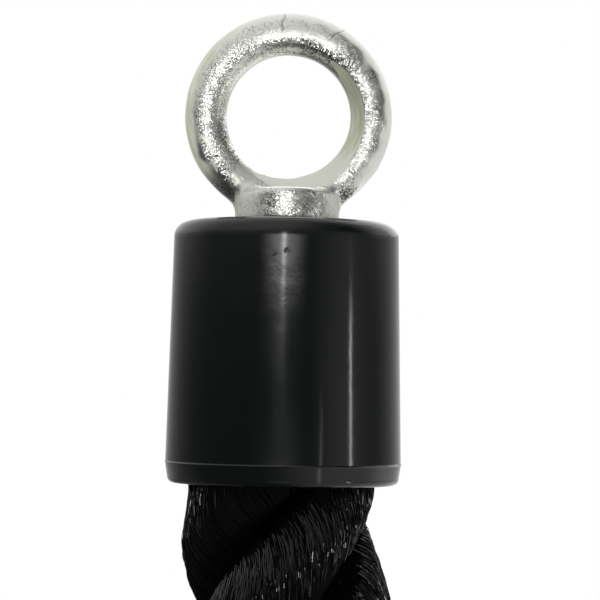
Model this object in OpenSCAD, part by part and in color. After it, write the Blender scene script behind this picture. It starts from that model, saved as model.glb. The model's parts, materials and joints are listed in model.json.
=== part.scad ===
// Rope end fitting: a forged lifting eye screwed into the steel socket that is swaged
// onto a thick three-strand rope, with a moulded cup over the socket.
// Frame: origin at the centre of the eye's bore, +Z along the rope towards the eye,
// +Y along the axis of the bore.

/* [Lifting eye] */
// Outer diameter of the ring
ring_od = 50; // [44:0.5:56]
// Diameter of the trimmed bore through the ring
bore_d = 30; // [24:0.5:34]
// Depth that trimming takes off the inside of the ring
trim_depth = 0.2; // [0.1:0.05:0.6]
// Height from the collar's seat to the centre of the bore
eye_h = 26; // [25.5:0.25:29]
// Diameter of the collar that seats on the cup
collar_d = 25; // [21:0.5:30]
// Thickness of the collar
collar_t = 8; // [6:0.25:9]
// Rounding of the collar's upper edge
collar_edge = 1.5; // [0.5:0.25:3]
// Chamfer of the collar's lower edge
collar_chamfer = 0.4; // [0.2:0.1:1]
// Radius of the forged fillets between ring and collar
neck_r = 2.5; // [2:0.5:6]
// Thickness of the webs that carry those fillets
neck_t = 5; // [3:0.5:7]
// Diameter of the threaded shank
shank_d = 12; // [10:0.5:14]
// Length of the shank below the collar
shank_l = 22; // [20:0.5:28]
// Chamfer at the tip of the shank
shank_tip = 1.5; // [0.5:0.25:2.5]

/* [End cup] */
// Diameter of the cup at its top
cup_top_d = 54; // [52:0.2:56]
// Largest diameter of the cup, at its parting line
cup_max_d = 56.6; // [56:0.2:62]
// Height of the cup
cup_h = 62.5; // [56:0.5:80]
// Thickness of the cup's side wall
cup_wall = 2.4; // [2:0.1:3]
// Thickness of the cup's top
cup_top_t = 4; // [3:0.25:6]
// Rounding of the cup's top edge
cup_edge = 3.5; // [1:0.25:5]
// Height of the parting line above the mouth
lip_h = 4.9; // [3:0.1:8]
// Inward taper of the lip below the parting line
lip_taper = 0.5; // [0.2:0.1:0.8]
// Rounding of the mouth's outer edge
mouth_edge = 1.5; // [0.5:0.1:1.6]
// Height of the ridge of flash on the parting line
flash = 0.15; // [0.05:0.05:0.4]
// Number of centring ribs inside the cup
rib_count = 6; // [3:1:12]
// Width of a centring rib
rib_w = 1.6; // [1:0.1:3]
// Height of the centring ribs
rib_h = 26; // [10:1:30]

/* [Steel socket] */
// Wall of the sleeve
sleeve_wall = 1.5; // [1:0.1:2]
// Distance from the cup's mouth up to the sleeve's end
sleeve_recess = 2; // [1:0.5:6]
// Thickness of the head that closes the sleeve
head_t = 3; // [2:0.25:5]
// Number of swaged grooves
swage_count = 3; // [1:1:4]
// Depth of a swaged groove
swage_depth = 1; // [0.4:0.1:1.6]
// Width of a swaged groove
swage_w = 7; // [4:0.5:8]

/* [Anchor nut] */
// Width across the flats of the nut
nut_af = 19; // [17:0.5:22]
// Height of the nut with its flange
nut_h = 10; // [8:0.5:12]
// Diameter of the weld flange
flange_d = 28; // [24:0.5:34]
// Thickness of the weld flange
flange_t = 2.5; // [1.5:0.25:4]

/* [Rope] */
// Diameter of the rope where it is free
rope_d = 50.8; // [46:0.2:56]
// Length of one full turn of a strand
lay_l = 126; // [90:1:220]
// Depth by which neighbouring strands flatten each other
strand_flat = 1; // [0.5:0.1:3]
// Length of rope below the cup's mouth
tail_l = 60; // [40:1:200]
// Length over which the rope swells to its free diameter
swell_l = 14; // [6:1:30]
// Depth below the cup's mouth at which a groove of the rope faces the front
front_groove = 0.5; // [0:0.5:60]
// Width of the tape that binds the rope's upper end
tape_w = 10; // [6:0.5:12]
// Thickness of that tape
tape_t = 0.4; // [0.2:0.1:0.8]

/* [Fits] */
// Room round the shank in the cup and in the socket's head
bolt_room = 0.5; // [0.2:0.1:1]
// Room between the shank and the nut
thread_room = 0.05; // [0.02:0.01:0.15]
// Room between the sleeve and the cup
cup_room = 0.2; // [0.1:0.05:0.4]
// Room between the socket's head and the sleeve
weld_room = 0.1; // [0.05:0.05:0.3]
// Room between the rope and the sleeve
rope_room = 0.15; // [0.1:0.05:0.3]
// Room between the tape and the strands
tape_room = 0.1; // [0.05:0.05:0.3]
// Room between neighbouring strands
strand_room = 0.3; // [0.2:0.05:0.5]
// Room between the shank's tip and the rope's upper end
tip_room = 2; // [1:0.5:6]

/* [Hidden] */
$fn = 96;

// Levels along the rope, from the eye down
seat_z = -eye_h;
mouth_z = seat_z - cup_h;
part_z = mouth_z + lip_h;
head_z = seat_z - cup_top_t;
nut_z = head_z - head_t;
tip_z = seat_z - shank_l;
rope_z = tip_z - tip_room;
sleeve_z = mouth_z + sleeve_recess;
tail_z = mouth_z - tail_l;

// Ring and neck of the eye
ring_r = ring_od / 2;
ring_section = (ring_od - bore_d) / 2 + trim_depth;
ring_mid = ring_r - ring_section / 2;
collar_r = collar_d / 2;
fillet_x = collar_r + neck_r;
fillet_z = -sqrt(pow(ring_r + neck_r, 2) - pow(fillet_x, 2));

// Walls of the cup
draft = atan((cup_max_d - cup_top_d) / 2 / (cup_h - lip_h));
hole_d = shank_d + 2 * bolt_room;

// Socket, rope and tape
sleeve_r = min(cup_inner_r(head_z), cup_inner_r(part_z)) - cup_room;
sleeve_bore = sleeve_r - sleeve_wall;
tape_r = sleeve_bore - rope_room;
swage_top = rope_z - tape_w;
swage_pitch = (swage_top - sleeve_z) / swage_count;
rope_r = rope_d / 2;
strand_r = (rope_r * sin(60) + strand_flat) / (1 + sin(60));
strand_mid = rope_r - strand_r;
strand_reach = strand_mid * sin(60) - strand_room / 2;

// Fineness of the strands and of the rounded outlines
strand_sides = 20;
socket_step = 1.75;
tail_step = 3;
arc_steps = 10;

function arc(x, y, r, from, to) =
    [for (i = [0:arc_steps]) let (a = from + (to - from) * i / arc_steps) [x + r * cos(a), y + r * sin(a)]];

function cup_outer_r(z) = cup_top_d / 2 + (seat_z - z) * tan(draft);

function cup_inner_r(z) = cup_outer_r(z) - cup_wall / cos(draft);

// Depth of the swaging at a height: one rounded dip for each groove
function swage_mid(i) = swage_top - (i + 0.5) * swage_pitch;

function dip(u) = abs(u) < 0.5 ? (1 + cos(360 * u)) / 2 : 0;

function swage(z) = swage_depth * max([for (i = [0:swage_count - 1]) dip((z - swage_mid(i)) / swage_w)]);

// Radius of the rope at a height: squeezed in the sleeve, bound by the tape, free below the mouth
function bound(z) = z > rope_z - tape_w - socket_step ? tape_t + tape_room : 0;

function squeezed_r(z) = sleeve_bore - rope_room - swage(z) - bound(z);

function swell(z) = (1 - cos(180 * min(1, (mouth_z - z) / swell_l))) / 2;

function free_r(z) = squeezed_r(mouth_z) + (rope_r - squeezed_r(mouth_z)) * swell(z);

function rope_r_at(z) = z >= mouth_z ? squeezed_r(z) : free_r(z);

// Outline of one strand round its own middle, flattened where it meets its two neighbours
function flat_at(a, normal) = cos(a - normal) > 0.1 ? strand_reach / cos(a - normal) : strand_r;

function strand_out(a) = min(strand_r, flat_at(a, 150), flat_at(a, -150));

function strand_turn(k, z) = -30 + 120 * k + 360 * (z - mouth_z + front_groove) / lay_l;

function strand_ring(k, z) =
    let (turn = strand_turn(k, z), size = rope_r_at(z) / rope_r)
    [for (j = [0:strand_sides - 1])
        let (a = 360 * j / strand_sides, r = strand_out(a))
        [
            size * (strand_mid * cos(turn) + r * cos(turn + a)),
            size * (strand_mid * sin(turn) + r * sin(turn + a)),
            z
        ]];

function levels(from, to, step) =
    let (n = ceil((from - to) / step))
    [for (i = [0:n - 1]) from - (from - to) * i / n];

strand_levels = concat(levels(rope_z, mouth_z, socket_step), levels(mouth_z, tail_z, tail_step), [tail_z]);

module strand(k) {
    n = strand_sides;
    rings = len(strand_levels);
    points = [for (z = strand_levels) each strand_ring(k, z)];
    sides = [
        for (i = [0:rings - 2])
            for (j = [0:n - 1])
                let (a = i * n + j, b = i * n + (j + 1) % n)
                each [[a, b, b + n], [a, b + n, a + n]]
    ];
    upper_end = [for (j = [n - 1:-1:0]) j];
    lower_end = [for (j = [0:n - 1]) (rings - 1) * n + j];
    color("#161616")
        polyhedron(points, concat([upper_end], sides, [lower_end]), convexity = 6);
}

module ring() {
    rotate([90, 0, 0])
        rotate_extrude()
            translate([ring_mid, 0])
                circle(d = ring_section);
}

module collar() {
    top_z = seat_z + collar_t;
    rotate_extrude()
        polygon(concat(
            [[0, seat_z], [collar_r - collar_chamfer, seat_z], [collar_r, seat_z + collar_chamfer]],
            arc(collar_r - collar_edge, top_z - collar_edge, collar_edge, 0, 90),
            [[0, top_z]]
        ));
}

// Fillets at the two sides of the neck, tangent to the collar and to the ring
module neck() {
    inside = ring_mid / (ring_r + neck_r);
    to_ring = atan2(-fillet_z, -fillet_x);
    intersection() {
        rotate_extrude()
            polygon(concat(
                [[0, fillet_z]],
                arc(fillet_x, fillet_z, neck_r, 180, to_ring),
                [[fillet_x * inside, fillet_z * inside], [0, fillet_z * inside]]
            ));
        cube([2 * ring_od, neck_t, 2 * ring_od], center = true);
    }
}

module shank() {
    r = shank_d / 2;
    rotate_extrude()
        polygon([[0, tip_z], [r - shank_tip, tip_z], [r, tip_z + shank_tip], [r, seat_z + collar_t / 2],
            [0, seat_z + collar_t / 2]]);
}

module lifting_eye() {
    color("silver")
        difference() {
            union() {
                ring();
                collar();
                neck();
                shank();
            }
            rotate([90, 0, 0])
                cylinder(d = bore_d, h = 2 * ring_od, center = true);
        }
}

module cup_shell() {
    edge_z = seat_z - cup_edge;
    lip_r = cup_max_d / 2 - lip_taper;
    inner_mouth = cup_inner_r(part_z);
    rotate_extrude()
        polygon(concat(
            [[hole_d / 2, seat_z]],
            arc(cup_outer_r(edge_z) - cup_edge / cos(draft), edge_z, cup_edge, 90, draft),
            [
                [cup_outer_r(part_z + 2 * flash), part_z + 2 * flash],
                [cup_max_d / 2 + flash, part_z],
                [cup_max_d / 2, part_z - 2 * flash]
            ],
            arc(lip_r - mouth_edge, mouth_z + mouth_edge, mouth_edge, 0, -90),
            [
                [inner_mouth, mouth_z],
                [inner_mouth, part_z],
                [cup_inner_r(head_z), head_z],
                [hole_d / 2, head_z]
            ]
        ));
}

// Upright ribs inside the cup that keep it centred on the sleeve
module cup_ribs() {
    low = sleeve_z;
    high = sleeve_z + rib_h;
    root = cup_wall / 2;
    for (i = [0:rib_count - 1])
        rotate([90, 0, 360 * (i + 0.5) / rib_count])
            linear_extrude(rib_w, center = true)
                polygon([
                    [sleeve_r + cup_room, low],
                    [cup_inner_r(part_z) + root, low],
                    [cup_inner_r(part_z) + root, part_z],
                    [cup_inner_r(high) + root, high],
                    [sleeve_r + cup_room, high]
                ]);
}

module end_cup() {
    color("#1a1b1a")
        union() {
            cup_shell();
            cup_ribs();
        }
}

// Wall of the sleeve on one side, followed down through its swaged grooves
function sleeve_wall_line(r) =
    concat(
        [[r, head_z]],
        [for (i = [0:swage_count - 1])
            for (j = [0:arc_steps])
                let (z = swage_mid(i) + swage_w * (0.5 - j / arc_steps))
                [r - swage(z), z]],
        [[r, sleeve_z]]
    );

module socket_sleeve() {
    inner = sleeve_wall_line(sleeve_bore);
    color("slategray")
        rotate_extrude()
            polygon(concat(
                sleeve_wall_line(sleeve_r),
                [for (i = [len(inner) - 1:-1:0]) inner[i]]
            ));
}

module socket_head() {
    color("slategray")
        translate([0, 0, nut_z])
            difference() {
                cylinder(r = sleeve_bore - weld_room, h = head_t);
                translate([0, 0, -head_t])
                    cylinder(d = hole_d, h = 3 * head_t);
            }
}

// Hexagon nut with a round weld flange against the underside of the head
module anchor_nut() {
    corner_d = nut_af / cos(30);
    chamfer = (corner_d - nut_af) / 2;
    color("dimgray")
        translate([0, 0, nut_z - nut_h])
            difference() {
                union() {
                    intersection() {
                        cylinder(d = corner_d, h = nut_h, $fn = 6);
                        rotate_extrude()
                            polygon([[0, 0], [nut_af / 2, 0], [corner_d / 2, chamfer / 2],
                                [corner_d / 2, nut_h], [0, nut_h]]);
                    }
                    translate([0, 0, nut_h - flange_t])
                        cylinder(d = flange_d, h = flange_t);
                }
                translate([0, 0, -nut_h])
                    cylinder(d = shank_d + 2 * thread_room, h = 3 * nut_h);
            }
}

module end_tape() {
    color("dimgray")
        translate([0, 0, rope_z - tape_w])
            difference() {
                cylinder(r = tape_r, h = tape_w);
                translate([0, 0, -tape_w])
                    cylinder(r = tape_r - tape_t, h = 3 * tape_w);
            }
}

lifting_eye();
end_cup();
socket_sleeve();
socket_head();
anchor_nut();
end_tape();
strand(0);  // strand_1
strand(1);  // strand_2
strand(2);  // strand_3
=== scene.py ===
import json
import math
import random

import bpy
from mathutils import Matrix, Vector, noise


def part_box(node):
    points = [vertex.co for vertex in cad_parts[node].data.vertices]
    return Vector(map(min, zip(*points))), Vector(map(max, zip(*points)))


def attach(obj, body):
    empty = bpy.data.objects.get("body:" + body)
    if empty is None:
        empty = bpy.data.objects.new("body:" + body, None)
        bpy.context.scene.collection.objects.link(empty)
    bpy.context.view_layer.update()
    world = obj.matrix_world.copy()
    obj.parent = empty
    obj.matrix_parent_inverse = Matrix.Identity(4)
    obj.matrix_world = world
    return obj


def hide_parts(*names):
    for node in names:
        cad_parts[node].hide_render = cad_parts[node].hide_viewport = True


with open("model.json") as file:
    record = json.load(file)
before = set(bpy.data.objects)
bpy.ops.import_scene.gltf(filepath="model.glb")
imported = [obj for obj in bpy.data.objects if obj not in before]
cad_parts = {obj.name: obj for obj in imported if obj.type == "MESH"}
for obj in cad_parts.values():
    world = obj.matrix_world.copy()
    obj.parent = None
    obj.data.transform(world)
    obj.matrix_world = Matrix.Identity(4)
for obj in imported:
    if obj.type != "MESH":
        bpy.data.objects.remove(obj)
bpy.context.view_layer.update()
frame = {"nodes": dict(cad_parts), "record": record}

mm = 0.001
noiseSpan = (0.35, 0.65)  # where most of a noise lies
print("frame loaded", sorted(frame["nodes"]))

# Places read off the frame
eyeLow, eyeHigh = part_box("lifting_eye")
cupLow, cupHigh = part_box("end_cup")
boreRadius = frame["record"]["mounts"][0]["dims"]["r_mm"] * mm
ringRadius = eyeHigh.z
seatZ = cupHigh.z
mouthZ = cupLow.z
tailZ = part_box("strand_1")[0].z


# Small helpers
def linear(hexColour):
    parts = [int(hexColour[i:i + 2], 16) / 255 for i in (1, 3, 5)]
    return [c / 12.92 if c <= 0.04045 else ((c + 0.055) / 1.055) ** 2.4 for c in parts] + [1.0]


def ramp(value, low, high):
    # Soft step from 0 at low to 1 at high
    t = min(1, max(0, (value - low) / (high - low)))
    return t * t * (3 - 2 * t)


def feed(node, inputs):
    # Inputs come in order or by name, each a plain value or another node's output
    pairs = inputs.items() if isinstance(inputs, dict) else enumerate(inputs)
    for socket, value in pairs:
        if isinstance(value, bpy.types.NodeSocket):
            node.id_data.links.new(value, node.inputs[socket])
        else:
            node.inputs[socket].default_value = value


def addNode(tree, kind, inputs=(), out=0, **settings):
    # Gives back one output; a Mix of colours takes them at inputs 6 and 7 and gives one at output 2
    node = tree.nodes.new("ShaderNode" + kind)
    for name, value in settings.items():
        setattr(node, name, value)
    feed(node, inputs)
    return node.outputs[out] if node.outputs else node


def newMaterial(name):
    material = bpy.data.materials.new(name)
    material.use_nodes = True
    return material, material.node_tree.nodes["Principled BSDF"]


def deselectAll():
    if bpy.context.object and bpy.context.object.mode != "OBJECT":
        bpy.ops.object.mode_set(mode="OBJECT")
    bpy.ops.object.select_all(action="DESELECT")


def pick(*objs):
    deselectAll()
    for obj in objs:
        obj.select_set(True)
    bpy.context.view_layer.objects.active = objs[0]
    return objs[0]


def applyPlace():
    bpy.ops.object.transform_apply(location=True, rotation=True, scale=True)


def applyModifier(obj, kind, **settings):
    pick(obj)
    modifier = obj.modifiers.new(kind.lower(), kind)
    for name, value in settings.items():
        setattr(modifier, name, value)
    bpy.ops.object.modifier_apply(modifier=modifier.name)


def joinAll(objs):
    pick(*objs)
    bpy.ops.object.join()
    return objs[0]


def finishPiece(obj, name, material, slot, *nodes):
    pick(obj)
    applyPlace()
    obj.name = name
    obj.data.name = name
    obj.data.materials.clear()
    obj.data.materials.append(material)
    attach(obj, "root")
    if nodes:
        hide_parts(*nodes)
    print("piece", name, len(obj.data.polygons), "faces")
    return obj


# Camera: the eye and the cup are seen square on, from a little below the cup's middle
shot = {
    "distance": 550 * mm,
    "height": -66.5 * mm,
    "aimX": 3.47 * mm,
    "aimZ": -44.34 * mm,
    "frameWidth": 144.58 * mm,
    "roll": 0.9,  # degrees
}


def makeCamera():
    data = bpy.data.cameras.new("camera")
    camera = bpy.data.objects.new("camera", data)
    bpy.context.scene.collection.objects.link(camera)
    place = Vector((shot["aimX"], -shot["distance"], shot["height"]))
    aim = Vector((shot["aimX"], 0, shot["aimZ"]))
    look = (aim - place).to_track_quat("-Z", "Y").to_matrix()
    turned = look @ Matrix.Rotation(math.radians(shot["roll"]), 3, "Z")
    camera.location = place
    camera.rotation_euler = turned.to_euler()
    data.sensor_width = 36
    data.lens = data.sensor_width * (aim - place).length / shot["frameWidth"]
    data.clip_start = 0.02
    data.clip_end = 20
    bpy.context.scene.camera = camera


makeCamera()

# Zinc plate on a drop forging: bright and gritty where the scale was, matt and olive where it was trimmed
zinc = {
    "patchSize": 7 * mm,
    "patchGrit": (0.25, 0.85),  # least and most grit
    "grainSize": 0.28 * mm,  # as coarse as it needs to be to show
    "grainLean": (0.04, 0.46),  # on smooth and on gritty skin
    "grainShades": ("#70716b", "#f0f0ea"),
    "grainDark": 0.3,  # share of the grains that are not fully bright
    "plain": "#e8e8e1",
    # Pit patches: the colour there is darkened as painted shade where the zinc mirrors dark surroundings
    "pitPaintedShade": "#a6a9ac",
    "pitPaintedShadeShare": 0.55,
    "dentSize": 3 * mm,
    "dentDepth": 0.4 * mm,
    "dentStrength": 0.22,
    "streakSize": 7 * mm,
    "streakSquash": (1, 9, 1),
    "olive": ("#c4c9ab", "#dee2cf"),
    "pale": "#e6e7e0",
    # dark tone of the forging laps: painted shade inside the fine cracks
    "lapPaintedShade": "#4a4b45",
    "roughness": (0.26, 0.5),  # bright and hazed
    "metallic": (1.0, 0.3),
}
# What the eye's points carry for this material, each from 0 to 1
skinNames = ("trimmed", "hazed", "filmed", "pittedAndPaintedShade", "lapped")


def zincMaterial():
    material, shader = newMaterial("zinc_plated_forging")
    tree = material.node_tree
    place = addNode(tree, "TexCoord", out="Object")
    trimmed, hazed, filmed, pittedAndPaintedShade, lapped = (
        addNode(tree, "Attribute", out="Fac", attribute_name=name) for name in skinNames)
    patch = addNode(tree, "TexNoise", {"Vector": place, "Scale": 1 / zinc["patchSize"], "Detail": 3.0})
    scaled = addNode(tree, "MapRange", (patch, *noiseSpan, *zinc["patchGrit"]))
    scaled = addNode(tree, "Math", (scaled, pittedAndPaintedShade), operation="MAXIMUM")
    forged = addNode(tree, "Math", (1.0, trimmed), operation="SUBTRACT")
    gritty = addNode(tree, "Math", (scaled, forged), operation="MULTIPLY")
    # Each grain of the gritty skin leans its own way and has its own shade
    grain = addNode(tree, "TexVoronoi", {"Vector": place, "Scale": 1 / zinc["grainSize"]}, "Color")
    lean = addNode(tree, "VectorMath", (grain, (0.5, 0.5, 0.5)), operation="SUBTRACT")
    amount = addNode(tree, "MapRange", (gritty, 0.0, 1.0, *zinc["grainLean"]))
    leaning = addNode(tree, "VectorMath", {0: lean, "Scale": amount}, operation="SCALE")
    dents = addNode(tree, "TexNoise", {"Vector": place, "Scale": 1 / zinc["dentSize"], "Detail": 3.0})
    uneven = addNode(tree, "Bump", {"Strength": zinc["dentStrength"], "Distance": zinc["dentDepth"],
                                    "Height": dents})
    normal = addNode(tree, "VectorMath", (uneven, leaning), operation="ADD")
    shade = addNode(tree, "SeparateColor", (grain,), "Blue")
    bright = addNode(tree, "MapRange", (shade, 0.0, zinc["grainDark"]))
    dark, light = (linear(colour) for colour in zinc["grainShades"])
    speck = addNode(tree, "Mix", {0: bright, 6: dark, 7: light}, 2, data_type="RGBA")
    speck = addNode(tree, "Mix", {0: gritty, 6: linear(zinc["plain"]), 7: speck}, 2, data_type="RGBA")
    # Pit patches have coarser grit, and their colour is darkened as painted shade for the dark surroundings
    # they mirror
    paintedPitShade = addNode(tree, "Math", (pittedAndPaintedShade, zinc["pitPaintedShadeShare"]), operation="MULTIPLY")
    speck = addNode(tree, "Mix", {0: paintedPitShade, 6: speck, 7: linear(zinc["pitPaintedShade"])}, 2,
                    data_type="RGBA", blend_type="MULTIPLY")
    # Trimmed faces are olive, with streaks along the ring
    drawn = addNode(tree, "Mapping", {"Vector": place, "Scale": zinc["streakSquash"]})
    streaks = addNode(tree, "TexNoise", {"Vector": drawn, "Scale": 1 / zinc["streakSize"], "Detail": 3.0})
    streak = addNode(tree, "MapRange", (streaks, *noiseSpan))
    deep, thin = (linear(colour) for colour in zinc["olive"])
    film = addNode(tree, "Mix", {0: streak, 6: deep, 7: thin}, 2, data_type="RGBA")
    film = addNode(tree, "Mix", {0: filmed, 6: linear(zinc["pale"]), 7: film}, 2, data_type="RGBA")
    tone = addNode(tree, "Mix", {0: trimmed, 6: speck, 7: film}, 2, data_type="RGBA")
    # Forging laps are drawn dark: painted shade inside the fine cracks, which the shallow dent alone can't
    # hold
    tone = addNode(tree, "Mix", {0: lapped, 6: tone, 7: linear(zinc["lapPaintedShade"])}, 2, data_type="RGBA")
    feed(shader, {
        "Base Color": tone,
        "Metallic": addNode(tree, "MapRange", (hazed, 0.0, 1.0, *zinc["metallic"])),
        "Roughness": addNode(tree, "MapRange", (hazed, 0.0, 1.0, *zinc["roughness"])),
        "Normal": normal,
    })
    return material


# Carbon-black plastic out of a polished mould: near black, glossy, with faint waves from shrinking
moulding = {
    "colour": "#0a0e0c",
    "ior": 1.5,
    "roughness": (0.08, 0.14),
    # Waves, ripples and peel: size, detail, strength and depth
    "waves": ((9 * mm, 1.0, 0.25, 0.12 * mm), (3 * mm, 1.0, 0.5, 0.02 * mm), (0.8 * mm, 2.0, 0.2, 0.02 * mm)),
    "bulge": 0.15 * mm,
    "ease": (4.5 * mm, 1.2 * mm),  # below the seat, from and to
    "easeDepth": 0.1 * mm,
    "matt": (0.4 * mm, 0.1 * mm),
    "mattRoughness": 0.5,
    # Middle and width in millimetres
    "scuffs": (((0.3, -27.3, -34.0), 1.2), ((-2.4, -27.2, -35.0), 0.9)),
    "scuffCore": 0.9 * mm,
    "scuffRim": 1.6 * mm,
    "scuffRoughness": 0.4,
}


def mouldingMaterial():
    material, shader = newMaterial("black_moulded_plastic")
    tree = material.node_tree
    place = addNode(tree, "TexCoord", out="Object")
    heights, under = [], {}
    for size, detail, strength, depth in moulding["waves"]:
        height = addNode(tree, "TexNoise", {"Vector": place, "Scale": 1 / size, "Detail": detail})
        normal = addNode(tree, "Bump", {"Strength": strength, "Distance": depth, "Height": height, **under})
        heights.append(height)
        under = {"Normal": normal}
    wave, peel = heights[0], heights[-1]
    # The wall mirrors as one that bulges a little, and its top edge eases into the rounding
    up = addNode(tree, "SeparateXYZ", (place,), "Z")
    along = addNode(tree, "MapRange", (up, mouthZ, seatZ, -1.0, 1.0), clamp=False)
    ends = addNode(tree, "Math", (along, along), operation="MULTIPLY")
    normal = addNode(tree, "Bump", {"Strength": 1.0, "Distance": moulding["bulge"], "Height": ends,
                                    "Normal": normal}, invert=True)
    low, high = (seatZ - below for below in moulding["ease"])
    eased = addNode(tree, "MapRange", (up, low, high, 1.0, 0.0), interpolation_type="SMOOTHSTEP")
    normal = addNode(tree, "Bump", {"Strength": 1.0, "Distance": moulding["easeDepth"], "Height": eased,
                                    "Normal": normal})
    # The flat top came off a matt face of the mould
    haze = addNode(tree, "MapRange", (wave, 0.0, 1.0, *moulding["roughness"]))
    low, high = (seatZ - below for below in moulding["matt"])
    matt = addNode(tree, "MapRange", (up, low, high, 0.0, moulding["mattRoughness"]))
    haze = addNode(tree, "Math", (haze, matt), operation="MAXIMUM")
    # Two scuffs high on the front, with ragged rims
    rim = addNode(tree, "Math", (peel, moulding["scuffRim"]), operation="MULTIPLY")
    core = moulding["scuffCore"]
    for spot, size in moulding["scuffs"]:
        away = addNode(tree, "VectorMath", (place, [c * mm for c in spot]), "Value", operation="DISTANCE")
        away = addNode(tree, "Math", (away, rim), operation="ADD")
        scuff = addNode(tree, "MapRange", (away, core, core + size * mm, moulding["scuffRoughness"], 0.0),
                        interpolation_type="SMOOTHSTEP")
        haze = addNode(tree, "Math", (haze, scuff), operation="MAXIMUM")
    feed(shader, {"Base Color": linear(moulding["colour"]), "IOR": moulding["ior"], "Roughness": haze,
                  "Normal": normal})
    return material


# Black filament yarn: fine threads side by side, each with a shine that breaks up along its length; the shine
# is partly real gloss and partly a painted glint in the colour
yarnLook = {
    "threadWidth": 0.32,  # millimetres, as coarse as it needs to be to show
    "threadRun": 5.0,  # millimetres before a thread's shine changes
    # the second shade is lighter: a painted glint along the shiny stretches
    "shades": ("#080a09", "#0c0d0c"),
    "relief": 0.25 * mm,
    "reliefStrength": 0.9,
    "glint": (0.58, 0.75),
    "roughness": (0.7, 0.4),  # dull and shiny threads
    "ior": 1.5,
    "specular": 0.045,
}


def yarnMaterial(lengthMm, roundMm):
    material, shader = newMaterial("black_filament_yarn")
    tree = material.node_tree
    uv = addNode(tree, "UVMap", uv_map="UVMap")
    stretch = (roundMm / yarnLook["threadWidth"], 2 * lengthMm / yarnLook["threadRun"], 1)
    lay = addNode(tree, "Mapping", {"Vector": uv, "Scale": stretch})
    threads = addNode(tree, "TexNoise", {"Vector": lay, "Scale": 1.0, "Detail": 2.0})
    # Shiny stretches are smoother, and are also drawn a little lighter as a painted glint
    glint = addNode(tree, "MapRange", (threads, *yarnLook["glint"]))
    dark, light = (linear(colour) for colour in yarnLook["shades"])
    feed(shader, {
        "Base Color": addNode(tree, "Mix", {0: glint, 6: dark, 7: light}, 2, data_type="RGBA"),
        "Roughness": addNode(tree, "MapRange", (glint, 0.0, 1.0, *yarnLook["roughness"])),
        "IOR": yarnLook["ior"],
        "Specular IOR Level": yarnLook["specular"],
        "Normal": addNode(tree, "Bump", {"Strength": yarnLook["reliefStrength"],
                                         "Distance": yarnLook["relief"], "Height": threads}),
    })
    return material


# Single filaments: smooth black polymer, so each shows a thin glint along its crest
monofilament = {"colour": "#070807", "roughness": 0.07, "ior": 1.5, "specular": 0.47}


def looseFilamentMaterial():
    material, shader = newMaterial("black_monofilament")
    feed(shader, {"Base Color": linear(monofilament["colour"]), "Roughness": monofilament["roughness"],
                  "IOR": monofilament["ior"], "Specular IOR Level": monofilament["specular"]})
    return material


# Melted filament: a glossy, lumpy black skin
melted = {
    "colour": "#0d0d0d",
    "lumpSize": 1.5 * mm,
    "lumpDepth": 0.3 * mm,
    "lumpStrength": 0.5,
    "roughness": (0.2, 0.5),
}


def meltedMaterial():
    material, shader = newMaterial("melted_filament_skin")
    tree = material.node_tree
    place = addNode(tree, "TexCoord", out="Object")
    lumps = addNode(tree, "TexNoise", {"Vector": place, "Scale": 1 / melted["lumpSize"], "Detail": 3.0})
    feed(shader, {
        "Base Color": linear(melted["colour"]),
        "Roughness": addNode(tree, "MapRange", (lumps, 0.0, 1.0, *melted["roughness"])),
        "Normal": addNode(tree, "Bump", {"Strength": melted["lumpStrength"], "Distance": melted["lumpDepth"],
                                         "Height": lumps}),
    })
    return material


# Pressed steel inside the cup, with drawing marks round the rope's axis
pressedSteel = {
    "shades": ("#7c7d80", "#a5a6a8"),
    "markSize": 3 * mm,
    "markSquash": (1, 1, 12),
    "roughness": (0.3, 0.5),
}


def steelMaterial():
    material, shader = newMaterial("pressed_steel")
    tree = material.node_tree
    place = addNode(tree, "TexCoord", out="Object")
    stretched = addNode(tree, "Mapping", {"Vector": place, "Scale": pressedSteel["markSquash"]})
    marks = addNode(tree, "TexNoise", {"Vector": stretched, "Scale": 1 / pressedSteel["markSize"],
                                       "Detail": 3.0})
    dark, light = (linear(colour) for colour in pressedSteel["shades"])
    feed(shader, {
        "Base Color": addNode(tree, "Mix", {0: marks, 6: dark, 7: light}, 2, data_type="RGBA"),
        "Metallic": 1.0,
        "Roughness": addNode(tree, "MapRange", (marks, 0.0, 1.0, *pressedSteel["roughness"])),
    })
    return material


# Woven black tape round the rope's hidden end
tape = {"shades": ("#1c1c1c", "#343434"), "weaveSize": 0.5 * mm, "roughness": 0.8}


def tapeMaterial():
    material, shader = newMaterial("black_cloth_tape")
    tree = material.node_tree
    place = addNode(tree, "TexCoord", out="Object")
    weave = addNode(tree, "TexNoise", {"Vector": place, "Scale": 1 / tape["weaveSize"], "Detail": 1.0})
    dark, light = (linear(colour) for colour in tape["shades"])
    tone = addNode(tree, "Mix", {0: weave, 6: dark, 7: light}, 2, data_type="RGBA")
    feed(shader, {"Base Color": tone, "Roughness": tape["roughness"]})
    return material


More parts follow.
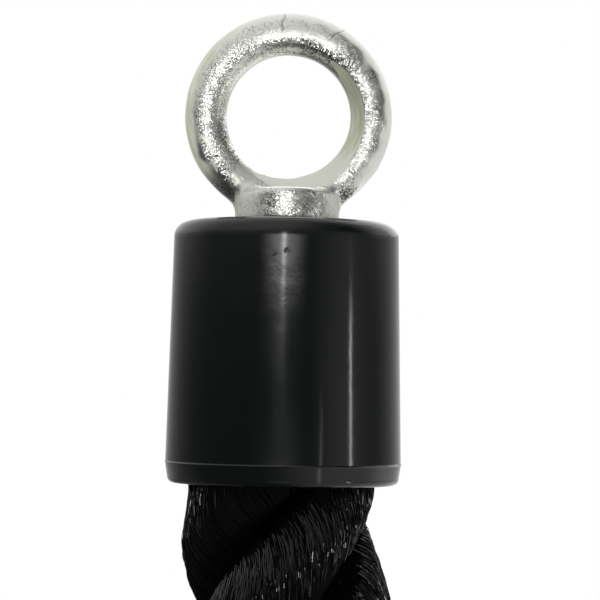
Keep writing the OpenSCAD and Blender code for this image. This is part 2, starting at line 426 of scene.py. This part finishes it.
# Forged eye: ring and collar run into each other, the bore and its uneven bevels are trimmed after forging
eye = {
    "trim": 0.2 * mm,
    "collarRadius": (eyeHigh.y - eyeLow.y) / 2,
    "collarHeight": 8 * mm,
    "collarEdge": 1.0 * mm,
    "filletRadius": 2.5 * mm,
    "webHalf": 2.6 * mm,
    "webSteps": 10,
    "webIn": 0.8,  # the web's ends lie at this share of their way out
    "coarseVoxel": 0.5 * mm,
    "fineVoxel": 0.27 * mm,
    "blend": 60,  # rounds of smoothing at the neck
    "neckSide": (5 * mm, 9 * mm),
    "neckFoot": (0.5 * mm, 3 * mm),  # above the seat
    "neckTop": (-17 * mm, -12 * mm),
    "uneven": 0.2 * mm,
    "unevenSize": 7 * mm,
    "crown": (4.2 * mm, 0.65),  # the dies keep this share of what stands further out
    "crownFoot": (-16 * mm, -11 * mm),
    "bevelShift": (0.9 * mm, -0.6 * mm),
    "bevelRadius": 12.75 * mm,
    "bevelReach": 5.4 * mm,
    "boreSlack": 0.05 * mm,
    # Forging laps on the front, from and to, across and up, in millimetres
    "laps": (((-1.3, 24.3), (-1.9, 20.0)), ((13.1, 20.9), (9.5, 18.2)), ((19.6, 8.9), (21.3, 9.8)),
             ((-19.5, -10.7), (-16.8, -10.3))),
    "lapHalf": 0.22 * mm,
    "lapDepth": 0.16 * mm,
    "lapBend": 0.25 * mm,
}

# Where the eye's skin is trimmed, hazed or filmed, and where its pit patches lie, which also carry painted
# shade; shares are given in that order
skin = {
    # Bevel and bore are hazier and less olive this far below the bore's middle
    "bevelLow": (6 * mm, 12 * mm),
    "bevelHaze": (0.5, 0.4),  # all over, and more of it below
    "bevelFilm": (0.2, 0.7),  # all over, and more of it above
    # Wandering band round the outer edge, where the flash was trimmed
    "bandDepth": 5 * mm,
    "bandHalf": (3.4 * mm, 4.5 * mm),
    "bandWander": 1.0 * mm,
    "bandWave": 4 * mm,
    "bandFoot": (-18 * mm, -12 * mm),
    "bandTrimmed": 0.85,
    "bandOlive": (-20 * mm, -8 * mm),  # fades to the right
    # Both sides of the collar
    "collarLow": (18 * mm, 20.5 * mm),
    "collarLeft": (4.5 * mm, 9 * mm),
    "collarRight": (8.5 * mm, 11 * mm),
    "collarShares": (0.45, 0.95, 0.7),
    # Top of the ring
    "topUp": (13 * mm, 17 * mm),
    "topAcross": (7 * mm, 14 * mm),
    "topOut": (18 * mm, 20 * mm),
    "topShares": (0.1, 0.25),
    # Smooth pads where the ring meets the collar: middle across and up, and reach, in millimetres
    "pads": ((-10.3, -15.2, 4.5), (10.2, -14.7, 4.0)),
    "padShares": (0.6, 0.35),
    # Coarser patches, given as the pads are; their colour is also darkened there as painted shade
    "pitsAndPaintedShade": ((-15.1, -4.6, 3.5), (-15.0, -15.5, 6.5), (23.6, 2.0, 5.0), (22.0, -8.0, 3.5), (16.5, 13.5, 5.5),
             (11.0, 13.0, 4.0), (5.0, 16.0, 3.5), (15.0, 7.5, 3.0), (5.2, -22.0, 2.6)),
    "spotCore": 0.4,  # share of a spot's reach that is full
}


def makeRing():
    section = (ringRadius - boreRadius + eye["trim"]) / 2
    bpy.ops.mesh.primitive_torus_add(
        major_radius=ringRadius - section, minor_radius=section, major_segments=160, minor_segments=48,
        rotation=(math.pi / 2, 0, 0))
    ring = bpy.context.object
    applyPlace()
    return ring


def makeCollar():
    bpy.ops.mesh.primitive_cylinder_add(
        vertices=128, radius=eye["collarRadius"], depth=eye["collarHeight"],
        location=(0, 0, seatZ + eye["collarHeight"] / 2))
    collar = bpy.context.object
    applyPlace()
    applyModifier(collar, "BEVEL", width=eye["collarEdge"], segments=4, limit_method="ANGLE")
    return collar


def makeNeckWeb():
    # Plate with the outline of both side fillets, pushed into ring and collar
    r, f = eye["collarRadius"], eye["filletRadius"]
    x = r + f
    z = -math.sqrt((ringRadius + f) ** 2 - x ** 2)
    end = math.atan2(-z, -x)
    steps = eye["webSteps"]
    side = [(x + f * math.cos(a), z + f * math.sin(a))
            for a in (math.pi + (end - math.pi) * i / steps for i in range(steps + 1))]
    side += [(eye["webIn"] * side[-1][0], eye["webIn"] * side[-1][1])]
    outline = side + [(-px, pz) for px, pz in reversed(side)]
    bpy.ops.mesh.primitive_circle_add(vertices=len(outline), radius=r, fill_type="NGON")
    web = bpy.context.object
    for vertex, (px, pz) in zip(web.data.vertices, outline):
        vertex.co = (px, -eye["webHalf"], pz)
    bpy.ops.object.mode_set(mode="EDIT")
    bpy.ops.mesh.select_all(action="SELECT")
    bpy.ops.mesh.extrude_region_move(TRANSFORM_OT_translate={"value": (0, 2 * eye["webHalf"], 0)})
    bpy.ops.mesh.select_all(action="SELECT")
    bpy.ops.mesh.normals_make_consistent(inside=False)
    bpy.ops.object.mode_set(mode="OBJECT")
    return web


def softenForging(ring):
    # The corners between ring and collar are soft, the front and the seat stay square
    applyModifier(ring, "REMESH", mode="VOXEL", voxel_size=eye["coarseVoxel"])
    neck = ring.vertex_groups.new(name="neck")
    foot = [seatZ + above for above in eye["neckFoot"]]
    for vertex in ring.data.vertices:
        x, y, z = vertex.co
        share = ramp(abs(x), *eye["neckSide"]) * ramp(z, *foot) * (1 - ramp(z, *eye["neckTop"]))
        if share > 0:
            neck.add([vertex.index], share, "REPLACE")
    applyModifier(ring, "SMOOTH", factor=0.5, iterations=eye["blend"], vertex_group="neck")
    applyModifier(ring, "REMESH", mode="VOXEL", voxel_size=eye["fineVoxel"])
    applyModifier(ring, "SMOOTH", factor=0.5, iterations=6)
    clouds = bpy.data.textures.new("forging_clouds", "CLOUDS")
    clouds.noise_scale = eye["unevenSize"]
    applyModifier(ring, "DISPLACE", texture=clouds, texture_coords="LOCAL", strength=eye["uneven"],
                  mid_level=0.55)


def trimPoint(x, y, z):
    # Where the dies and the trimming leave a point, and whether it was cut
    crest, keep = eye["crown"]
    if abs(y) > crest and z > eye["crownFoot"][0]:
        y -= math.copysign((abs(y) - crest) * (1 - keep) * ramp(z, *eye["crownFoot"]), y)
    # Bevel cone, half angle 45 degrees, a little off the bore's middle
    shiftX, shiftZ = eye["bevelShift"]
    away = math.hypot(x - shiftX, z - shiftZ)
    short = eye["bevelRadius"] + min(abs(y), eye["bevelReach"]) - away
    cut = short > 0 and abs(y) < eye["bevelReach"]
    if cut:
        push = short / 2
        x += (x - shiftX) / away * push
        z += (z - shiftZ) / away * push
        y -= math.copysign(push, y)
    reach = math.hypot(x, z)
    if reach < boreRadius + eye["boreSlack"]:
        x, z = x * boreRadius / reach, z * boreRadius / reach
        cut = True
    return x, y, z, cut


def spotShare(x, z, spots):
    # How far inside the deepest of some round spots a point lies, from 0 to 1
    return max(1 - ramp(math.hypot(x - px * mm, z - pz * mm), skin["spotCore"] * size * mm, size * mm)
               for px, pz, size in spots)


def lapShare(x, z):
    # How deep in a forging lap a point of the front lies, from 0 to 1
    share = 0.0
    for (ax, az), (bx, bz) in eye["laps"]:
        ax, az, bx, bz = ax * mm, az * mm, bx * mm, bz * mm
        dx, dz = bx - ax, bz - az
        t = min(1, max(0, ((x - ax) * dx + (z - az) * dz) / (dx * dx + dz * dz)))
        bend = eye["lapBend"] * math.sin(9 * t)
        away = math.hypot(x - ax - t * dx + bend * dz / math.hypot(dx, dz), z - az - t * dz)
        share = max(share, 1 - away / eye["lapHalf"])
    return max(0.0, share)


def skinShares(x, y, z, cut):
    # How far a point is trimmed, hazed and filmed, and how deep it lies in a pit patch with painted shade
    trimmed = haze = film = 0.0
    if cut:
        low, high = skin["bevelLow"]
        trimmed = 1.0
        haze = skin["bevelHaze"][0] + skin["bevelHaze"][1] * ramp(-z, low, high)
        film = skin["bevelFilm"][0] + skin["bevelFilm"][1] * ramp(z, -high, -low)
    reach = math.hypot(x, z)
    if reach > ringRadius - skin["bandDepth"] and z > skin["bandFoot"][0]:
        wander = skin["bandWander"] * noise.noise(Vector((x, 0, z)) / skin["bandWave"])
        band = (1 - ramp(abs(y) + wander, *skin["bandHalf"])) * ramp(z, *skin["bandFoot"])
        trimmed = max(trimmed, skin["bandTrimmed"] * band)
        haze = max(haze, band)
        film = max(film, 1 - ramp(x, *skin["bandOlive"]))
    if abs(x) < eye["collarRadius"]:
        low = ramp(-z, *skin["collarLow"])
        aside = low * max(ramp(-x, *skin["collarLeft"]), ramp(x, *skin["collarRight"]))
        trimmed = max(trimmed, skin["collarShares"][0] * aside)
        haze = max(haze, skin["collarShares"][1] * aside)
        film = max(film, skin["collarShares"][2] * low)
    top = ramp(z, *skin["topUp"]) * (1 - ramp(abs(x), *skin["topAcross"])) * ramp(reach, *skin["topOut"])
    pad = spotShare(x, z, skin["pads"])
    for share, (trimPart, hazePart) in ((top, skin["topShares"]), (pad, skin["padShares"])):
        trimmed = max(trimmed, trimPart * share)
        haze = max(haze, hazePart * share)
    return trimmed, haze, film, spotShare(x, z, skin["pitsAndPaintedShade"])


def makeEye():
    deselectAll()
    ring = joinAll([makeRing(), makeCollar(), makeNeckWeb()])
    softenForging(ring)
    skins = {name: [] for name in skinNames}
    normals = [vertex.normal.copy() for vertex in ring.data.vertices]
    for vertex in ring.data.vertices:
        x, y, z, cut = trimPoint(*vertex.co)
        lap = lapShare(x, z) if y < 0 else 0.0
        for name, share in zip(skinNames, (*skinShares(x, y, z, cut), lap)):
            skins[name].append(share)
        vertex.co = Vector((x, y, z)) - lap * eye["lapDepth"] * normals[vertex.index]
    for name, shares in skins.items():
        ring.data.attributes.new(name, "FLOAT", "POINT").data.foreach_set("value", shares)
    pick(ring)
    bpy.ops.object.shade_smooth()
    return finishPiece(ring, "forged_eye", zincMaterial(), "zinc_plate", "lifting_eye")


makeEye()
print("eye made")

# Laid rope: each strand is a bundle of yarns twisted against the lay, with loose filaments over it;
# yarns and filaments are drawn as coarse as they need to be to show
rope = {
    "radius": 25.84 * mm,
    "strandFlat": 0.34 * mm,
    "lay": 123.9 * mm,
    "frontGroove": 0.69 * mm,
    "mouthTurn": (0.22, 22.3 * mm),  # radians held back at the mouth, and the length that takes it up
    "sleeveRadius": 22.43 * mm,
    "sleeveEnd": mouthZ + 2 * mm,
    "relax": 35.6 * mm,
    "squeeze": ((0.5, 0.0), (1.0, 1.0), (1.0, 1.0)),  # each strand's two sides
    "squeezeSides": (-0.35, 0.45),  # radians round the strand
    "squeezeLength": 40 * mm,
    "offset": -0.1 * mm,
    "sway": 0.88 * mm,
    "swayReach": (4 * mm, 28 * mm),  # below the mouth
    "insideLength": 10 * mm,
    "yarnSeed": 20,
    "filamentSeed": 70,
    "fusedSeed": 5,
    "yarns": 80,
    "yarnRadius": 0.62 * mm,
    "yarnSides": 8,
    "yarnSteps": 64,
    "yarnTwist": 1.1,
    "yarnStray": 0.45,  # share of the way to the next yarn
    "yarnSizes": (0.7, 1.3),
    "yarnSink": (0, 0.15),  # millimetres
    "yarnSway": (0.05, 0.2),
    "yarnWaves": (3.1 * mm, 5.3 * mm),
    "coreSides": 32,
    "coreSteps": 32,
    "filaments": 1100,
    "filamentRadius": 0.12 * mm,
    "filamentPoints": 16,
    "filamentSide": (-1.75, 0.35),  # radians round the strand, the side that shows
    "filamentTop": 4 * mm,  # above the mouth
    # From and to, in millimetres
    "filamentLength": (5, 18),
    "filamentLift": (-0.1, 0.15),
    "looseLift": (0.15, 0.3),
    "filamentWide": (0.05, 0.3),
    "filamentDeep": (0.08, 0.24),
    "filamentPace": (1.2, 3),
    "looseEvery": 40,  # one filament in so many stands off the strand
    "filamentDrift": (-0.05, 0.05),
    "filamentThick": (0.6, 1.2),
    "filamentTaper": 0.7,
    "filamentDip": 0.25 * mm,  # at both ends
    "fusedDepth": 1.2 * mm,
    "fusedInset": 0.2 * mm,
    "fusedEdge": 0.4 * mm,
    "fusedLumps": (0.012, 0.008),
}
fullTurn = 6.28  # radians, for random phases
third = 2 * math.pi / 3
strandRadius = (rope["radius"] * math.sin(math.pi / 3) + rope["strandFlat"]) / (1 + math.sin(math.pi / 3))
strandMid = rope["radius"] - strandRadius
strandReach = strandMid * math.sin(math.pi / 3)
ropeTop = mouthZ + rope["insideLength"]
ropeLow = tailZ + rope["fusedDepth"] / 2


def ropeRadius(z):
    freed = ramp(rope["sleeveEnd"] - z, 0, rope["relax"])
    return rope["sleeveRadius"] + (rope["radius"] - rope["sleeveRadius"]) * freed


def strandTurn(k, z):
    # The sleeve's squeeze holds the lay back a little near the mouth
    held, length = rope["mouthTurn"]
    return (-math.pi / 6 + third * k + 2 * math.pi * (z - mouthZ + rope["frontGroove"]) / rope["lay"]
            + held * (1 - ramp(mouthZ - z, 0, length)))


def strandOut(k, angle, z):
    # Round outside, flat against its neighbours, and pressed towards a third of a disc in the cup's mouth
    flank = 1.0
    for normal in (5 * math.pi / 6, -5 * math.pi / 6):
        c = math.cos(angle - normal)
        if c > 0.02:
            flank = min(flank, strandReach / c)
    free = min(strandRadius, flank)
    s = strandMid * math.sin(angle)
    disc = math.sqrt(rope["radius"] ** 2 - s * s) - strandMid * math.cos(angle)
    pressed = (disc ** -6 + flank ** -6) ** (-1 / 6)  # the smaller of both, with a soft corner
    near, far = rope["squeeze"][k]
    fade = max(0, 1 - max(0, mouthZ - z) / rope["squeezeLength"])
    share = (near + (far - near) * ramp(angle, *rope["squeezeSides"])) * fade
    return free + (pressed - free) * share


def layAngle(k, angle, z):
    # Yarns turn against the lay, so an angle of the straight strand runs back along it
    return angle - (1 + rope["yarnTwist"]) * (strandTurn(k, z) - strandTurn(k, mouthZ))


def layPoint(k, x, y, z):
    # A point of the straight strand, taken to its place in the laid rope
    turn = strandTurn(k, z)
    angle = layAngle(k, math.atan2(y, x), z)
    r = math.hypot(x, y) * strandOut(k, math.remainder(angle, 2 * math.pi), z) / strandRadius
    size = ropeRadius(z) / rope["radius"]
    sway = rope["offset"] + rope["sway"] * ramp(mouthZ - z, *rope["swayReach"])
    return Vector((
        size * (strandMid * math.cos(turn) + r * math.cos(turn + angle)) + sway,
        size * (strandMid * math.sin(turn) + r * math.sin(turn + angle)),
        z))


def makeRod(sides, radius, steps):
    # Upright rod along the rope, cut into even steps
    length = ropeTop - ropeLow
    bpy.ops.mesh.primitive_cylinder_add(vertices=sides, radius=radius, depth=length,
                                        location=(0, 0, (ropeTop + ropeLow) / 2))
    rod = bpy.context.object
    applyPlace()
    bpy.ops.object.mode_set(mode="EDIT")
    bpy.ops.mesh.select_mode(type="EDGE")
    bpy.ops.mesh.select_all(action="DESELECT")
    bpy.ops.object.mode_set(mode="OBJECT")
    for edge in rod.data.edges:
        a, b = (rod.data.vertices[i].co.z for i in edge.vertices)
        edge.select = abs(a - b) > length / 2
    bpy.ops.object.mode_set(mode="EDIT")
    bpy.ops.mesh.subdivide(number_cuts=steps - 1)
    bpy.ops.object.mode_set(mode="OBJECT")
    return rod


def makeStrand(k, material):
    deselectAll()
    draw = random.Random(rope["yarnSeed"] + k)
    master = makeRod(rope["yarnSides"], rope["yarnRadius"], rope["yarnSteps"])
    waveX, waveY = rope["yarnWaves"]
    yarns = []
    for i in range(rope["yarns"]):
        yarn = master.copy()
        yarn.data = master.data.copy()
        bpy.context.scene.collection.objects.link(yarn)
        angle = 2 * math.pi * (i + draw.uniform(-rope["yarnStray"], rope["yarnStray"])) / rope["yarns"]
        size = draw.uniform(*rope["yarnSizes"])
        out = strandRadius - size * rope["yarnRadius"] - draw.uniform(*rope["yarnSink"]) * mm
        sway = draw.uniform(*rope["yarnSway"]) * mm
        phase = draw.uniform(0, fullTurn)
        shift = draw.uniform(0, 1)
        c, s = math.cos(angle), math.sin(angle)
        for vertex in yarn.data.vertices:
            x, y, z = vertex.co
            px = out + size * x + 0.5 * sway * math.sin(z / waveX + phase)
            py = size * y + sway * math.sin(z / waveY + 2 * phase)
            vertex.co = layPoint(k, px * c - py * s, px * s + py * c, z)
        for loop in yarn.data.uv_layers[0].data:
            loop.uv.y += shift
        yarns.append(yarn)
    bpy.data.objects.remove(master)
    core = makeRod(rope["coreSides"], strandRadius - rope["yarnRadius"], rope["coreSteps"])
    for vertex in core.data.vertices:
        vertex.co = layPoint(k, *vertex.co)
    strand = joinAll(yarns + [core])
    bpy.ops.object.shade_smooth()
    return finishPiece(strand, f"rope_strand_{k + 1}", material, "rope_fibre", f"strand_{k + 1}")


def makeFilaments(k, material):
    # Fine filaments that lie on the yarns, wavy and at slightly different heights
    deselectAll()
    draw = random.Random(rope["filamentSeed"] + k)
    curve = bpy.data.curves.new("filaments", "CURVE")
    curve.dimensions = "3D"
    curve.bevel_depth = rope["filamentRadius"]
    curve.bevel_resolution = 0
    sideFrom, sideTo = rope["filamentSide"]
    count = rope["filamentPoints"]
    made = 0
    while made < rope["filaments"]:
        length = draw.uniform(*rope["filamentLength"]) * mm
        top = draw.uniform(ropeLow + length, mouthZ + rope["filamentTop"])
        angle = draw.uniform(-math.pi, math.pi)
        laid = layAngle(k, angle, top - length / 2)
        if not sideFrom < math.remainder(laid, 2 * math.pi) < sideTo:
            continue
        made += 1
        lift = draw.uniform(*rope["filamentLift" if made % rope["looseEvery"] else "looseLift"]) * mm
        drift = draw.uniform(*rope["filamentDrift"])
        wide = draw.uniform(*rope["filamentWide"]) * mm
        deep = draw.uniform(*rope["filamentDeep"]) * mm
        pace = draw.uniform(*rope["filamentPace"]) * mm
        phase = draw.uniform(0, fullTurn)
        thick = draw.uniform(*rope["filamentThick"])
        roll = draw.uniform(0, fullTurn)
        spline = curve.splines.new("POLY")
        spline.points.add(count - 1)
        for i in range(count):
            t = i / (count - 1)
            z = top - t * length
            side = wide * math.sin(z / pace + phase) + drift * (t - 0.5) * length
            wave = deep * math.sin(z / (0.7 * pace) + 3 * phase)
            r = strandRadius + lift + wave - rope["filamentDip"] * (2 * t - 1) ** 4
            a = angle + side / strandRadius
            spline.points[i].co = (*layPoint(k, r * math.cos(a), r * math.sin(a), z), 1)
            spline.points[i].tilt = roll
            spline.points[i].radius = thick * (1 - rope["filamentTaper"] * (2 * t - 1) ** 6)
    piece = bpy.data.objects.new("filaments", curve)
    bpy.context.scene.collection.objects.link(piece)
    pick(piece)
    bpy.ops.object.convert(target="MESH")
    bpy.ops.object.shade_flat()
    return finishPiece(bpy.context.object, f"rope_filaments_{k + 1}", material, "rope_fibre")


def makeMeltedEnd(material):
    # The cut end is sealed with heat: each strand ends in a flat, lumpy skin
    deselectAll()
    draw = random.Random(rope["fusedSeed"])
    large, small = rope["fusedLumps"]
    lobes = []
    for k in range(3):
        bpy.ops.mesh.primitive_cylinder_add(
            vertices=64, radius=strandRadius - rope["fusedInset"], depth=rope["fusedDepth"],
            location=(0, 0, tailZ + rope["fusedDepth"] / 2))
        lobe = bpy.context.object
        applyPlace()
        applyModifier(lobe, "BEVEL", width=rope["fusedEdge"], segments=3, limit_method="ANGLE")
        phase = draw.uniform(0, fullTurn)
        for vertex in lobe.data.vertices:
            x, y, z = vertex.co
            a = math.atan2(y, x)
            swell = 1 + large * math.sin(9 * a + phase) + small * math.sin(23 * a)
            vertex.co = layPoint(k, swell * x, swell * y, z)
        lobes.append(lobe)
    end = joinAll(lobes)
    bpy.ops.object.shade_smooth_by_angle(angle=math.radians(40))
    return finishPiece(end, "rope_melted_end", material, "rope_fibre")


strandMaterial = yarnMaterial((ropeTop - ropeLow) / mm, 2 * math.pi * rope["yarnRadius"] / mm)
filamentMaterial = looseFilamentMaterial()
for k in range(3):
    makeStrand(k, strandMaterial)
    makeFilaments(k, filamentMaterial)
makeMeltedEnd(meltedMaterial())
print("rope laid")


# CAD nodes that stay
def dress(node, material):
    for entry in frame["nodes"][node].material_slots:
        entry.material = material


dress("end_cup", mouldingMaterial())
steel = steelMaterial()
for node in ("socket_sleeve", "socket_head", "anchor_nut"):
    dress(node, steel)
dress("end_tape", tapeMaterial())
print("materials set")

# Stage: pale floor that fades into the white surround
stage = {
    "floorRadius": 0.2,
    "fade": (0.05, 0.18),  # from and to, out from the middle
    "colour": "#f4f4f2",
    "roughness": 0.9,
}


def makeFloor():
    deselectAll()
    bpy.ops.mesh.primitive_circle_add(vertices=96, radius=stage["floorRadius"], fill_type="NGON",
                                      location=(0, 0, tailZ))
    floor = bpy.context.object
    applyPlace()
    floor.name = "floor"
    material, shader = newMaterial("pale_paper")
    tree = material.node_tree
    place = addNode(tree, "TexCoord", out="Object")
    flat = addNode(tree, "VectorMath", (place, (1, 1, 0)), operation="MULTIPLY")
    away = addNode(tree, "VectorMath", (flat,), "Value", operation="LENGTH")
    fade = addNode(tree, "MapRange", (away, *stage["fade"]), interpolation_type="SMOOTHSTEP")
    clear = addNode(tree, "BsdfTransparent")
    feed(shader, {"Base Color": linear(stage["colour"]), "Roughness": stage["roughness"]})
    faded = addNode(tree, "MixShader", (fade, shader.outputs["BSDF"], clear))
    feed(tree.nodes["Material Output"], {"Surface": faded})
    floor.data.materials.append(material)
    floor.visible_glossy = False


# Studio: glossy faces mirror a room of boards and soft lamps, and everything else is lit evenly.
# Ways are seen from the object, x to the right and y away from the camera.
# A row of four maps its first two numbers, along a way, to its last two, a brightness
studio = {
    "fill": 0.85,
    "backdrop": 1.0,
    "white": (1, 1, 1, 1),
    "backFalloff": 4.0,
    "backSides": (-0.5, 0.1, 0.5, 0.8),
    "dim": 0.05,
    "boardsEdge": 0.25,
    "boards": (0.25, -0.25, 0.05, 0.65),
    "boardsUp": (0.0, 0.4, 0.0, 1.0),
    "rear": (-0.2, 0.5, 0.0, 1.0),
    "rearUp": (0.05, 0.25, 0.0, 1.0),
    "shadeDown": (0.0, -0.2, 0.0, 0.9),
    "shadeLeft": (0.2, -0.1, 0.0, 1.0),
    # Middle, spread and strength
    "window": ((0.88, -0.47, 0.0), (0.75, 0.75, 1.0), 0.36),
    "frontLamps": (
        ((-0.033, -0.985, 0.127), (0.46, 1.0, 0.023), 8.5),
        ((-0.033, -0.985, 0.14), (0.06, 1.0, 0.05), 16.0),
        ((-0.08, -0.99, 0.1), (0.2, 1.0, 0.1), 0.35),
        ((-0.033, -0.985, -0.1), (0.52, 1.0, 0.065), 13.0),
    ),
    "lampAim": -45 * mm,
    # Degrees from the camera's side to the right and above the horizon, metres away, width and height, watts
    "lamps": {
        "right_strip": (68, -5.5, 1.2, (0.045, 0.42), 0.5),
        "right_low_strip": (36.5, -15, 1.2, (0.035, 0.64), 0.12),
        "overhead_softbox": (15, 72, 1.6, (2.4, 2.4), 1.8),
        "back_softbox": (160, 35, 1.6, (1.6, 1.6), 5),
    },
}


def addGlow(tree, way, under, middle, spread, strength):
    # Light that fades from its middle to the rim of an ellipsoid round it, added to what is under it
    offset = addNode(tree, "VectorMath", (way, middle), operation="SUBTRACT")
    share = addNode(tree, "VectorMath", (offset, spread), operation="DIVIDE")
    away = addNode(tree, "VectorMath", (share,), "Value", operation="LENGTH")
    light = addNode(tree, "MapRange", (away, 0.0, 1.0, strength, 0.0), interpolation_type="SMOOTHSTEP")
    return addNode(tree, "Math", (under, light), operation="ADD")


def mirroredRoom(tree):
    soft, times = {"interpolation_type": "SMOOTHSTEP"}, {"operation": "MULTIPLY"}
    way = addNode(tree, "TexCoord", out="Generated")
    x, y, z = addNode(tree, "SeparateXYZ", (way,)).node.outputs
    # Round the horizon the room is white behind the object and dim on the camera's side, with a window
    # to the right
    back = addNode(tree, "Math", (y, 1.0), operation="ADD")
    back = addNode(tree, "Math", (back, 0.5), **times)
    back = addNode(tree, "Math", (back, studio["backFalloff"]), operation="POWER")
    sides = addNode(tree, "MapRange", (x, *studio["backSides"]), **soft)
    back = addNode(tree, "Math", (back, sides), **times)
    level = addNode(tree, "Math", (back, studio["dim"]), operation="ADD")
    level = addGlow(tree, way, level, *studio["window"])
    # Off the horizon, white boards stand above on the left and below on the right
    height = addNode(tree, "Math", (z,), operation="ABSOLUTE")
    corner = addNode(tree, "Math", (x, studio["boardsEdge"]), operation="SUBTRACT")
    corner = addNode(tree, "Math", (corner, z), **times)
    boards = addNode(tree, "MapRange", (corner, *studio["boards"]), **soft)
    off = addNode(tree, "MapRange", (height, *studio["boardsUp"]), **soft)
    room = addNode(tree, "Mix", {0: off, 2: level, 3: boards})
    # Behind the object it is white above and below too, but for a shade low on the left
    rear = addNode(tree, "MapRange", (y, *studio["rear"]), **soft)
    upright = addNode(tree, "MapRange", (height, *studio["rearUp"]), **soft)
    rear = addNode(tree, "Math", (rear, upright), **times)
    shade = addNode(tree, "MapRange", (z, *studio["shadeDown"]), **soft)
    left = addNode(tree, "MapRange", (x, *studio["shadeLeft"]), **soft)
    shade = addNode(tree, "Math", (shade, left), **times)
    lit = addNode(tree, "Math", (1.0, shade), operation="SUBTRACT")
    rear = addNode(tree, "Math", (rear, lit), **times)
    room = addNode(tree, "Mix", {0: rear, 2: room, 3: 1.0})
    # Soft lamps on the camera's side: one with a bright middle and a faint reach downwards, one lower
    for lamp in studio["frontLamps"]:
        room = addGlow(tree, way, room, *lamp)
    return room


def makeWorld():
    world = bpy.data.worlds.new("studio")
    bpy.context.scene.world = world
    world.use_nodes = True
    tree = world.node_tree
    tree.nodes.clear()
    mirrored, fill, backdrop = (
        addNode(tree, "Background", {"Color": studio["white"], "Strength": strength})
        for strength in (mirroredRoom(tree), studio["fill"], studio["backdrop"]))
    ray = addNode(tree, "LightPath").node.outputs
    glossy = addNode(tree, "Math", (ray["Is Glossy Ray"], ray["Is Transmission Ray"]), operation="MAXIMUM")
    light = addNode(tree, "MixShader", (glossy, fill, mirrored))
    final = addNode(tree, "MixShader", (ray["Is Camera Ray"], light, backdrop))
    addNode(tree, "OutputWorld", {"Surface": final})


def makeLamp(name, azimuth, height, distance, size, power):
    a, e = math.radians(azimuth), math.radians(height)
    middle = Vector((0, 0, studio["lampAim"]))
    way = Vector((math.sin(a) * math.cos(e), -math.cos(a) * math.cos(e), math.sin(e)))
    data = bpy.data.lights.new(name, "AREA")
    data.shape = "RECTANGLE"
    data.size, data.size_y = size
    data.energy = power
    lamp = bpy.data.objects.new(name, data)
    bpy.context.scene.collection.objects.link(lamp)
    lamp.location = middle + way * distance
    lamp.rotation_euler = way.to_track_quat("Z", "Y").to_euler()


makeFloor()
makeWorld()
for name, setting in studio["lamps"].items():
    makeLamp(name, *setting)
bpy.context.scene.view_settings.view_transform = "Standard"
print("stage and light set")
